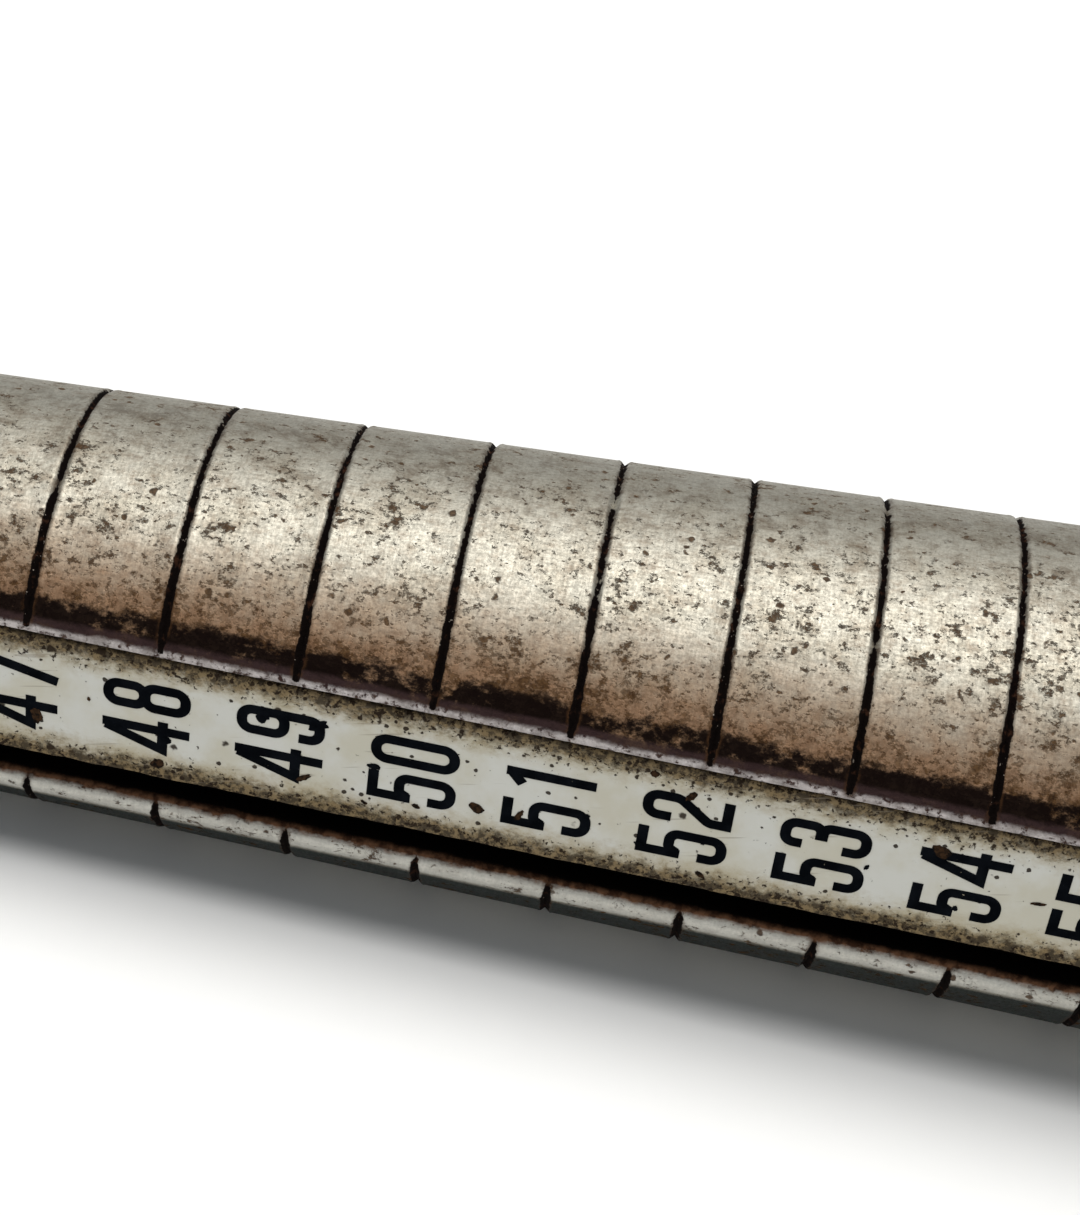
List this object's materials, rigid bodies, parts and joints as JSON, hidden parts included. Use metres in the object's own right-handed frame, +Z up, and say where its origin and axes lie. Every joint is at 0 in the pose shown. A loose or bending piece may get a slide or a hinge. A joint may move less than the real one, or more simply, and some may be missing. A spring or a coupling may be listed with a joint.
{
  "type": "ring sizer stick",
  "caption": "Tapered round metal gauge with engraved size lines and a printed scale set in a lengthwise channel, on an octagonal wooden handle.",
  "frame": {"origin": "centre of the bounding box, on the axis of the taper", "axes": "+X along the taper's axis from the thin end to the handle, -Y out of the printed scale, +Z up"},
  "size_m": [0.28, 0.028, 0.028],
  "materials": {
    "aluminium": "worn, brushed and pitted, dark grime in the size lines",
    "printed_strip": "satin off-white enamel, black numbers, brown grime along both edges",
    "steel": "dull, slightly tarnished",
    "brass": "worn satin with dark tarnish",
    "leather": "dark, oiled",
    "hardwood": "hand-worn oiled hardwood"
  },
  "bodies": {
    "root": {"mandrel_body": "aluminium", "scale_strip": "printed_strip", "strip_pin_tip": "steel", "strip_pin_base": "steel", "shoulder_washer": "leather", "ferrule": "brass", "ferrule_pin": "brass", "handle_grip": "hardwood", "tang_rod": "steel", "rod_washer": "steel", "rod_nut": "steel", "end_plug": "brass"}
  },
  "joints": []
}
